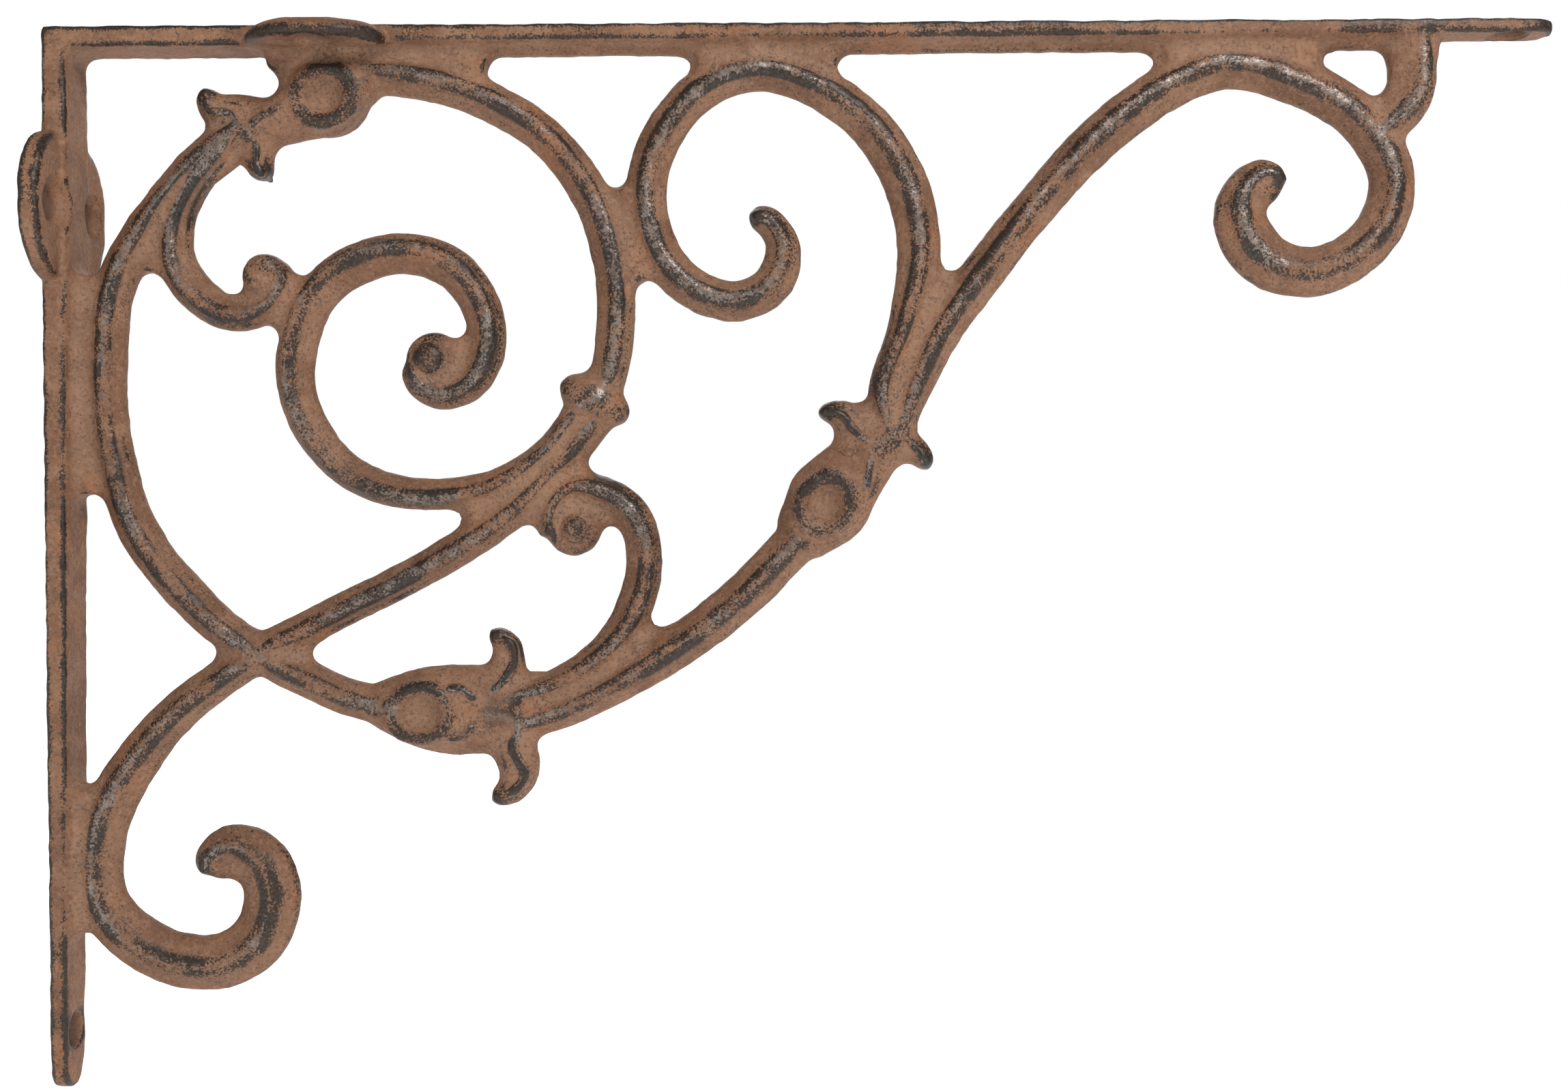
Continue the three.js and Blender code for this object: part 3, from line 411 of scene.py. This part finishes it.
def build_members():
    """Everything that runs together with cast fillets."""
    soup = Soup()
    for path, left, right, tip in SCROLLS.values():
        loft(soup, path, left, right, tip=tip)
    for path, left, right in WEBS:
        loft(soup, path, left, right, rise=WEB_RISE, profile=FLAT)
    for path, left, right in BUDS:
        loft(soup, path, left, right, rise=BUD_RISE, profile=SWELL)
    for path, left, right in LEAVES:
        loft(soup, path, left, right, rise=LEAF_RISE, profile=SWELL, tip=True)
    for centre, radius, height in BULBS:
        ball(soup, centre, (radius, height, radius), power=2.6)
    ball(soup, COLLAR_PLACE, COLLAR_HALF, COLLAR_TILT, power=2.3)
    leg(soup, WALL_LEG, lambda a, u, t: (t, u, ROW_Z - a), LEG_END_ROUND)
    leg(soup, SHELF_LEG, lambda a, u, t: (a, u, ROW_Z - t), LEG_END_ROUND)
    leg(soup, SHELF_RIB, lambda a, u, t: (a, u * (1.45 - t * 0.12), ROW_Z - t), RIB_END_ROUND)
    for centre, half, degrees in RIMS:
        rim(soup, centre, half, degrees)
    return soup


def build_details(soup):
    """What stays crisp on top of the fused members."""
    pad(soup, WALL_PAD_HALF, WALL_PAD, lambda a, b, h: (h, a, b))
    pad(soup, SHELF_PAD_HALF, SHELF_PAD, lambda a, b, h: (SHELF_PAD_REACH + a, b, ROW_Z - h))
    for path, radius, height in FACE_RIDGES:
        face_ridge(soup, path, radius, height)
    for centre, radius, height in BOSSES:
        ball(soup, centre, (radius, height, radius), power=2.8)


# ---------------------------------------------------------------- one fused skin

def level_set(points, tris, quads, band):
    """The distance field of closed shells that may overlap."""
    transform = openvdb.createLinearTransform(voxelSize=VOXEL)
    return openvdb.FloatGrid.createLevelSetFromPolygons(
        points, triangles=tris, quads=quads, transform=transform, halfWidth=band)


def carve(grid, low, high, distance):
    """Cuts a hollow, given as a signed distance in mm, out of the solid inside a block of the grid."""
    first = np.floor(np.array(low) / VOXEL).astype(int)
    last = np.ceil(np.array(high) / VOXEL).astype(int)
    block = np.zeros(tuple(last - first + 1), np.float32)
    grid.copyToArray(block, ijk=tuple(int(v) for v in first))
    x, y, z = np.meshgrid(*[np.arange(a, b + 1) * VOXEL for a, b in zip(first, last)], indexing="ij")
    cut = np.maximum(block, -distance(x, y, z)).astype(np.float32)
    grid.copyFromArray(cut, ijk=tuple(int(v) for v in first), tolerance=0)


def round_hole(face, place, x, y, z):
    """Distance off a screw hole's axis, and height above the back of the face it goes through."""
    if face == "wall":
        return np.hypot(y - place[0], z - place[1]), x
    return np.hypot(x - place[0], y - place[1]), ROW_Z - z


def screw_hole(hole, x, y, z):
    """Signed distance to a countersunk hole."""
    face, place, thickness, mouth = hole
    across, height = round_hole(face, place, x, y, z)
    cone = HOLE_RADIUS + np.clip(height - (thickness - SINK), 0, 3) * (mouth - HOLE_RADIUS) / SINK
    return (across - cone) * 0.85


def fuse(soup):
    """The members closed up with fillets, as points and quads in mm."""
    none = np.zeros((0, 3), np.uint32)
    swollen = level_set(*soup.arrays(), FILLET_BAND).convertToQuads(isovalue=FILLET)
    filled = level_set(swollen[0], none, swollen[1], FILLET_BAND).convertToQuads(isovalue=-FILLET)
    detailed = Soup()
    detailed.points, detailed.quads, detailed.count = [filled[0]], [filled[1]], len(filled[0])
    build_details(detailed)
    grid = level_set(*detailed.arrays(), DETAIL_BAND)
    for hole in SCREW_HOLES:
        (a, b), reach = hole[1], 8 if hole[3] > 4 else 5
        if hole[0] == "wall":
            low, high = (-4, a - reach, b - reach), (9, a + reach, b + reach)
        else:
            low, high = (a - reach, b - reach, ROW_Z - 7), (a + reach, b + reach, ROW_Z + 4)
        carve(grid, low, high, lambda x, y, z: screw_hole(hole, x, y, z))
    for (cx, cz), radius, depth in DIMPLES:
        bowl = (radius ** 2 + depth ** 2) / (2 * depth)
        cz += ROW_Z
        out = BUD_FACE + bowl - depth
        for near, far, middle in ((-9, -1, -out), (1, 9, out)):
            carve(grid, (cx - 7, near, cz - 7), (cx + 7, far, cz + 7),
                  lambda x, y, z: np.sqrt((x - cx) ** 2 + (y - middle) ** 2 + (z - cz) ** 2) - bowl)
    return grid.convertToQuads(isovalue=0.0)


# ---------------------------------------------------------------- surface work, in mm

class Skin:
    """Points and quads with neighbour averaging and normals."""

    def __init__(self, points, quads):
        self.p = np.array(points, float)
        self.q = np.array(quads, np.int64)
        self.clean()
        edges = np.vstack([self.q[:, [k, (k + 1) % 4]] for k in range(4)])
        self.edges = np.unique(np.sort(edges, axis=1), axis=0)
        self.ends = np.concatenate([self.edges[:, 0], self.edges[:, 1]])
        self.others = np.concatenate([self.edges[:, 1], self.edges[:, 0]])
        self.degree = np.maximum(np.bincount(self.ends, minlength=len(self.p)), 1)

    def clean(self):
        """Keeps the largest connected shell and turns it to face out."""
        group = np.arange(len(self.p))
        while True:
            low = group.copy()
            least = group[self.q].min(axis=1)
            for k in range(4):
                np.minimum.at(low, self.q[:, k], least)
            low = low[low]
            if (low == group).all():
                break
            group = low
        main = np.bincount(group).argmax()
        self.q = self.q[group[self.q[:, 0]] == main]
        used, self.q = np.unique(self.q, return_inverse=True)
        self.q = self.q.reshape(-1, 4)
        self.p = self.p[used]
        a, b, c, d = (self.p[self.q[:, k]] for k in range(4))
        volume = (np.cross(b, c) * a).sum() + (np.cross(c, d) * a).sum()
        if volume < 0:
            self.q = self.q[:, ::-1].copy()

    def average(self, values):
        """The mean of each point's neighbours."""
        if values.ndim == 1:
            return np.bincount(self.ends, values[self.others], len(self.p)) / self.degree
        return np.stack([self.average(values[:, k]) for k in range(values.shape[1])], 1)

    def smooth(self, values, rounds, share=0.5):
        """Values moved towards their neighbours' mean, so many times."""
        for _ in range(rounds):
            values = values + share * (self.average(values) - values)
        return values

    def normals(self):
        """Unit point normals, weighted by face area."""
        a, b, c, d = (self.p[self.q[:, k]] for k in range(4))
        face = np.cross(c - a, d - b)
        out = np.zeros_like(self.p)
        for k in range(4):
            for axis in range(3):
                out[:, axis] += np.bincount(self.q[:, k], face[:, axis], len(self.p))
        return out / np.maximum(np.linalg.norm(out, axis=1, keepdims=True), 1e-12)


def noise(p, wavelength, seed):
    """Smooth value noise from -1 to 1, the same on every run."""
    q = p / wavelength + seed * 7.31
    cell = np.floor(q).astype(np.int64)
    f = q - cell
    f = f * f * (3 - 2 * f)
    total = np.zeros(len(p))
    for corner in range(8):
        d = np.array([corner & 1, corner >> 1 & 1, corner >> 2 & 1])
        c = (cell + d) & 0xFFFF
        h = (c[:, 0] * 73856093) ^ (c[:, 1] * 19349663) ^ (c[:, 2] * 83492791) ^ (seed * 2654435)
        h = (h ^ (h >> 13)) * 1274126177 & 0xFFFFFFFF
        h = (h ^ (h >> 16)) & 0xFFFF
        total += (h / 32767.5 - 1) * np.prod(np.where(d, f, 1 - f), axis=1)
    return total


def roughen(skin):
    """Sand-cast unevenness, kept inside the CAD box; returns how far each point stands out."""
    skin.p = skin.smooth(skin.p, 3)
    n = skin.normals()
    broad = skin.smooth(skin.p, 30)
    crest = ((skin.p - broad) * n).sum(axis=1)
    wavy = sum(height * noise(skin.p, wavelength, seed) for height, wavelength, seed in WAVES)
    skin.p += n * wavy[:, None]
    low, high = (np.array(v) / MM for v in CAD_BOX)
    skin.p = np.clip(skin.p, low + 0.005, high - 0.005)
    return crest


def in_bores(skin):
    """1 inside the screw holes' bores, where the colour gets painted shade, 0 outside them."""
    x, y, z = skin.p.T
    inside = np.zeros(len(skin.p))
    for face, place, thickness, _ in SCREW_HOLES:
        across, height = round_hole(face, place, x, y, z)
        inside = np.maximum(inside, np.clip((HOLE_RADIUS + 0.6 - across) / 0.5, 0, 1) * (height < thickness))
    return inside


def ridge_distance(skin):
    """How far each point lies to the side of the nearest ridge line, in mm: + to its left."""
    turn = np.linspace(0, 2 * np.pi, 25)
    circle = np.stack([np.cos(turn), np.sin(turn)], 1)
    rims = [np.array(centre) + 0.8 * radius * circle for centre, radius, _ in BOSSES]
    lines = [spline(path, 0.5)[:2] for path, *_ in SCROLLS.values()]
    shifts = [0.0] * len(lines)
    rims += [rim_line(*values)[:-1] for values in RIMS]
    lines += [spline(path, 0.5)[:2] for path in [path for path, *_ in FACE_RIDGES] + rims]
    shifts += [0.25] * len(FACE_RIDGES) + [1.2] * len(BOSSES) + [0.9] * len(RIMS)
    where = np.vstack([line[0] for line in lines])
    ahead = np.vstack([line[1] for line in lines])
    shift = np.concatenate([np.full(len(line[0]), add) for line, add in zip(lines, shifts)])
    tree = KDTree(len(where))
    for index, (x, z) in enumerate(where):
        tree.insert((x, z + ROW_Z, 0), index)
    tree.balance()
    flat = skin.p[:, [0, 2]]
    found = [tree.find((x, z, 0)) for x, z in flat]
    index = np.array([f[1] for f in found])
    away = np.minimum(np.array([f[2] for f in found]) + shift[index], 6.0)
    off = flat - where[index] - (0, ROW_Z)
    return away * np.where(ahead[index, 0] * off[:, 1] > ahead[index, 1] * off[:, 0], 1, -1)


# ---------------------------------------------------------------- pieces along the CAD joints

def label_faces(skin):
    """For each face, the CAD node whose surface is nearest."""
    names = sorted(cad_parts)
    points, faces, owner = [], [], []
    for index, name in enumerate(names):
        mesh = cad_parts[name].data
        start = len(points)
        points += [v.co.copy() for v in mesh.vertices]
        faces += [tuple(start + v for v in p.vertices) for p in mesh.polygons]
        owner += [index] * len(mesh.polygons)
    tree = BVHTree.FromPolygons(points, faces)
    middle = skin.p[skin.q].mean(axis=1) * MM
    labels = np.array([owner[tree.find_nearest(Vector(c))[2]] for c in middle])
    return names, settle(skin, labels, len(names))


def settle(skin, labels, count):
    """Evens out the borders: each face takes the commonest label round it."""
    m = len(skin.q)
    at = np.repeat(np.arange(m), 4)
    corner = skin.q.reshape(-1)
    for _ in range(8):
        votes = np.zeros((len(skin.p), count), np.float32)
        np.add.at(votes, (corner, labels[at]), 1)
        labels = votes[skin.q].sum(axis=1).argmax(axis=1)
    return labels


def drop_islands(skin, labels, least=60):
    """Gives small stray patches to their neighbours."""
    for _ in range(4):
        group = np.arange(len(skin.q))
        edge = np.sort(np.vstack([skin.q[:, [k, (k + 1) % 4]] for k in range(4)]), axis=1)
        face = np.tile(np.arange(len(skin.q)), 4)
        order = np.lexsort((edge[:, 1], edge[:, 0]))
        edge, face = edge[order], face[order]
        same = (edge[1:] == edge[:-1]).all(axis=1)
        a, b = face[:-1][same], face[1:][same]
        inside = labels[a] == labels[b]
        ia, ib = a[inside], b[inside]
        while True:
            low = group.copy()
            np.minimum.at(low, ia, group[ib])
            np.minimum.at(low, ib, group[ia])
            low = low[low]
            if (low == group).all():
                break
            group = low
        size = np.bincount(group, minlength=len(group))[group]
        biggest = np.zeros(labels.max() + 1, int)
        np.maximum.at(biggest, labels, size)
        stray = (size < least) | (size < biggest[labels] * 0.04)
        if not stray.any():
            break
        cross = ~inside
        ca, cb = a[cross], b[cross]
        for s, t in ((ca, cb), (cb, ca)):
            pick = stray[s] & ~stray[t]
            labels[s[pick]] = labels[t[pick]]
    return labels


def make_piece(name, skin, normals, layers, faces):
    """A closed mesh of those faces of the skin: its open borders are capped inside the iron."""
    used, quads = np.unique(skin.q[faces], return_inverse=True)
    quads = quads.reshape(-1, 4)
    points = skin.p[used]
    ways = np.vstack([quads[:, [k, (k + 1) % 4]] for k in range(4)])
    n = len(points)
    forward, backward = ways[:, 0] * n + ways[:, 1], ways[:, 1] * n + ways[:, 0]
    border = ways[~np.isin(forward, backward)]
    group = np.arange(n)
    while len(border):
        low = group.copy()
        np.minimum.at(low, border[:, 0], group[border[:, 1]])
        np.minimum.at(low, border[:, 1], group[border[:, 0]])
        if (low == group).all():
            break
        group = low
    caps, middles = [], []
    for g in np.unique(group[border[:, 0]]) if len(border) else []:
        loop = border[group[border[:, 0]] == g]
        centre = n + len(middles)
        middles.append(points[loop[:, 0]].mean(axis=0))
        caps += [(b, a, centre) for a, b in loop]
    points = np.vstack([points] + ([np.array(middles)] if middles else [])) * MM
    mesh = bpy.data.meshes.new(name)
    mesh.from_pydata(points.tolist(), [], quads.tolist() + [tuple(int(v) for v in c) for c in caps])
    mesh.shade_smooth()
    for title, values in layers.items():
        layer = mesh.attributes.new(title, "FLOAT", "POINT")
        layer.data.foreach_set("value", np.append(values[used], np.zeros(len(middles))).astype(np.float32))
    loops = [normals[used][quads.reshape(-1)]]
    for a, b, c in caps:
        flat = np.cross(points[b] - points[a], points[c] - points[a])
        flat = flat / max(np.linalg.norm(flat), 1e-12)
        loops.append(np.tile(flat, (3, 1)))
    mesh.normals_split_custom_set(np.vstack(loops).tolist())
    piece = bpy.data.objects.new(name, mesh)
    bpy.context.scene.collection.objects.link(piece)
    return piece


# ---------------------------------------------------------------- material

DARK_LINE = 1.3  # mm from a ridge to the middle of the dark line beside it
RUBBED_HIGHLIGHT_HALF = 0.64  # mm, half the width of the rubbed metal along a ridge, whose light grey is partly a painted highlight


def rusted_iron():
    """Matte rust-brown skin over dark iron that shows, rubbed and shiny, along the crests, with a light grey
    there that is partly a painted highlight.
    """
    material = bpy.data.materials.new("rusted_cast_iron")
    material.use_nodes = True
    tree = material.node_tree
    tree.nodes.clear()
    link = tree.links.new

    def add(kind, **values):
        node = tree.nodes.new(kind)
        for key, value in values.items():
            if key.startswith("_"):
                setattr(node, key[1:], value)
            else:
                node.inputs[key.replace("_", " ")].default_value = value
        return node

    place = add("ShaderNodeTexCoord").outputs["Object"]

    def grain(scale, detail=4.0, rough=0.55):
        node = add("ShaderNodeTexNoise", Scale=scale, Detail=detail, Roughness=rough)
        link(place, node.inputs["Vector"])
        return node.outputs["Fac"]

    def math(kind, a, b, clamp=False):
        node = add("ShaderNodeMath", _operation=kind, _use_clamp=clamp)
        for socket, value in zip(node.inputs, (a, b)):
            if isinstance(value, (int, float)):
                socket.default_value = value
            else:
                link(value, socket)
        return node.outputs[0]

    def ramp(value, low, high):
        node = add("ShaderNodeMapRange", From_Min=low, From_Max=high, _interpolation_type="SMOOTHSTEP")
        link(value, node.inputs["Value"])
        return node.outputs["Result"]

    def blend(share, a, b):
        node = add("ShaderNodeMix", _data_type="RGBA")
        link(share, node.inputs[0])
        for socket, value in ((node.inputs[6], a), (node.inputs[7], b)):
            if isinstance(value, tuple):
                socket.default_value = (*value, 1)
            else:
                link(value, socket)
        return node.outputs[2]

    crest = add("ShaderNodeAttribute", _attribute_name="crest").outputs["Fac"]
    ridge = add("ShaderNodeAttribute", _attribute_name="ridge").outputs["Fac"]
    bore = add("ShaderNodeAttribute", _attribute_name="bore").outputs["Fac"]

    def centred(scale, amount, detail=4.0, rough=0.6):
        return math("MULTIPLY", math("SUBTRACT", grain(scale, detail, rough), 0.5), amount)

    # the rust: warm brown, in places more orange, dusty in the hollows
    rust = blend(ramp(grain(38, 3), 0.4, 0.6), (0.16, 0.071, 0.033), (0.208, 0.1, 0.051))
    rust = blend(ramp(grain(170, 4), 0.42, 0.66), rust, (0.24, 0.122, 0.066))
    rust = blend(math("MULTIPLY", ramp(grain(85, 4), 0.54, 0.7), 0.6), rust, (0.25, 0.09, 0.03))
    rust = blend(math("MULTIPLY", ramp(crest, -0.01, -0.14), 0.35), rust, (0.28, 0.167, 0.104))
    rust = blend(math("MULTIPLY", ramp(grain(1300, 3, 0.7), 0.48, 0.68), 0.6), rust, (0.09, 0.042, 0.023))
    rust = blend(math("MULTIPLY", ramp(grain(1000, 3, 0.7), 0.5, 0.3), 0.45), rust, (0.32, 0.183, 0.117))

    # the iron: dark in two ragged, speckled lines beside each ridge, rubbed bare between them, where its
    # light grey is partly a painted highlight
    away = math("ABSOLUTE", ridge, 0.0)
    side = math("MULTIPLY", math("SIGN", ridge, 0.0), centred(60, 4.0, 2))
    coarse = math("ADD", centred(230, 4.0, 3), centred(55, 2.6, 2))
    fine = centred(2300, 6.5, 2, 0.6)
    ragged = math("ADD", math("ADD", coarse, fine), side)
    off_line = math("ABSOLUTE", math("SUBTRACT", away, DARK_LINE), 0.0)
    lines = ramp(math("ADD", math("SUBTRACT", 0.6, off_line), ragged), -0.25, 0.3)
    on_iron = ramp(crest, 0.0, 0.07)
    edge = ramp(math("ADD", crest, math("MULTIPLY", math("ADD", fine, coarse), 0.07)), 0.19, 0.26)
    worn = math("MULTIPLY", math("MAXIMUM", math("MULTIPLY", lines, on_iron), edge), 0.92)
    rubbed_highlight_ragged = math("ADD", centred(48, 6.0, 2), math("ADD", centred(400, 2.5, 3), centred(1900, 3.0, 2)))
    near = math("ADD", math("SUBTRACT", RUBBED_HIGHLIGHT_HALF, away), rubbed_highlight_ragged)
    rubbed_and_highlight = math("MULTIPLY", ramp(near, -0.25, 0.45), on_iron)
    iron = blend(ramp(grain(1500, 3, 0.7), 0.4, 0.7), (0.018, 0.014, 0.012), (0.05, 0.039, 0.032))
    # light grey of the rubbed bare iron, which also serves as a painted highlight along the crests
    polished_and_highlight = blend(ramp(grain(700, 3, 0.7), 0.42, 0.58), (0.225, 0.204, 0.186), (0.13, 0.1, 0.081))
    patches = math("ADD", centred(150, 0.35, 3), math("MULTIPLY", away, -0.01))
    specks = ramp(math("ADD", grain(2000, 2, 0.65), patches), 0.57, 0.63)
    colour = blend(math("MULTIPLY", specks, 0.72), rust, (0.045, 0.033, 0.026))
    colour = blend(math("MULTIPLY", rubbed_and_highlight, 0.75), colour, polished_and_highlight)
    colour = blend(worn, colour, iron)
    # painted shade: the bores of the screw holes are darkened as if in shadow
    colour = blend(math("MULTIPLY", bore, 0.7), colour, (0.05, 0.022, 0.01))
    bare = math("MAXIMUM", worn, rubbed_and_highlight)

    shader = add("ShaderNodeBsdfPrincipled")
    link(colour, shader.inputs["Base Color"])
    link(math("SUBTRACT", math("ADD", 0.62, math("MULTIPLY", grain(300, 3), 0.22)),
              math("MULTIPLY", bare, 0.32)), shader.inputs["Roughness"])
    link(math("MULTIPLY", bare, 0.55), shader.inputs["Metallic"])

    height = math("ADD", math("MULTIPLY", grain(1300, 3, 0.6), 0.00014),
                  math("MULTIPLY", grain(420, 3), 0.00028))
    bump = add("ShaderNodeBump", Strength=0.9, Distance=1.0)
    link(height, bump.inputs["Height"])
    link(bump.outputs["Normal"], shader.inputs["Normal"])
    link(shader.outputs[0], add("ShaderNodeOutputMaterial").inputs["Surface"])
    return material


# ---------------------------------------------------------------- stage, in metres

# Lights: name, place, size, watts.
LIGHTS = [
    ("key", (0.5, -0.6, 0.5), 0.3, 6.3),
    ("fill", (-0.5, -0.8, 0.1), 0.6, 1.2),
    ("back", (0.0, 0.8, 0.4), 0.6, 3.0),
]
LIT_POINT = (0.13, 0, -0.04)
CAMERA_PLACE, CAMERA_ROLL = (0.1437, -0.338, -0.0577), 0.007
CAMERA_LENS, CAMERA_SHIFT = 39.34, -0.0296
FLOOR_HALF, FLOOR_DROP = 2.5, 0.06

def stage():
    scene = bpy.context.scene
    world = bpy.data.worlds.new("studio")
    world.use_nodes = True
    sky = world.node_tree.nodes["Background"]
    seen = world.node_tree.nodes.new("ShaderNodeLightPath")
    level = world.node_tree.nodes.new("ShaderNodeMapRange")
    level.inputs["To Min"].default_value = 0.25  # as a light
    level.inputs["To Max"].default_value = 1.0  # as the white behind the object
    world.node_tree.links.new(seen.outputs["Is Camera Ray"], level.inputs["Value"])
    world.node_tree.links.new(level.outputs["Result"], sky.inputs["Strength"])
    sky.inputs["Color"].default_value = (1, 1, 1, 1)
    scene.world = world
    scene.view_settings.view_transform = "Standard"

    mesh = bpy.data.meshes.new("floor")
    half, low = FLOOR_HALF, CAD_BOX[0].z - FLOOR_DROP
    corners = [(-half, -half, low), (half, -half, low), (half, half, low), (-half, half, low)]
    mesh.from_pydata(corners, [], [(0, 1, 2, 3)])
    floor = bpy.data.objects.new("floor", mesh)
    scene.collection.objects.link(floor)
    paper = bpy.data.materials.new("paper")
    paper.use_nodes = True
    shader = paper.node_tree.nodes["Principled BSDF"]
    shader.inputs["Base Color"].default_value = (0.9, 0.9, 0.9, 1)
    shader.inputs["Roughness"].default_value = 1.0
    shader.inputs["Emission Color"].default_value = (1, 1, 1, 1)
    glow = paper.node_tree.nodes.new("ShaderNodeMapRange")
    glow.inputs["To Min"].default_value = 0.6  # as a light
    glow.inputs["To Max"].default_value = 1.0  # as the paper under the object
    looked_at = paper.node_tree.nodes.new("ShaderNodeLightPath")
    paper.node_tree.links.new(looked_at.outputs["Is Camera Ray"], glow.inputs["Value"])
    paper.node_tree.links.new(glow.outputs["Result"], shader.inputs["Emission Strength"])
    mesh.materials.append(paper)

    for name, place, size, power in LIGHTS:
        light = bpy.data.lights.new(name, "AREA")
        light.size, light.energy = size, power
        lamp = bpy.data.objects.new(name, light)
        lamp.location = place
        lamp.rotation_euler = (Vector(LIT_POINT) - Vector(place)).to_track_quat("-Z", "Y").to_euler()
        scene.collection.objects.link(lamp)

    view = bpy.data.cameras.new("camera")
    view.sensor_width, view.lens, view.shift_y = 36.0, CAMERA_LENS, CAMERA_SHIFT
    camera = bpy.data.objects.new("camera", view)
    c, s = np.cos(CAMERA_ROLL), np.sin(CAMERA_ROLL)
    right, up = Vector((c, 0, -s)), Vector((s, 0, c))
    turn = Matrix((right, up, right.cross(up))).transposed().to_4x4()
    camera.matrix_world = Matrix.Translation(CAMERA_PLACE) @ turn
    scene.collection.objects.link(camera)
    scene.camera = camera


# ---------------------------------------------------------------- build

skin = Skin(*fuse(build_members()))
layers = {"crest": roughen(skin)}
layers["ridge"] = ridge_distance(skin)
# where the bores get painted shade
layers["bore"] = in_bores(skin)
normals = skin.normals()
names, labels = label_faces(skin)
labels = drop_islands(skin, labels)
iron = rusted_iron()
for index, name in enumerate(names):
    faces = np.flatnonzero(labels == index)
    piece = make_piece("cast_" + name, skin, normals, layers, faces)
    piece.data.materials.append(iron)
    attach(piece, "root")
    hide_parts(name)
stage()
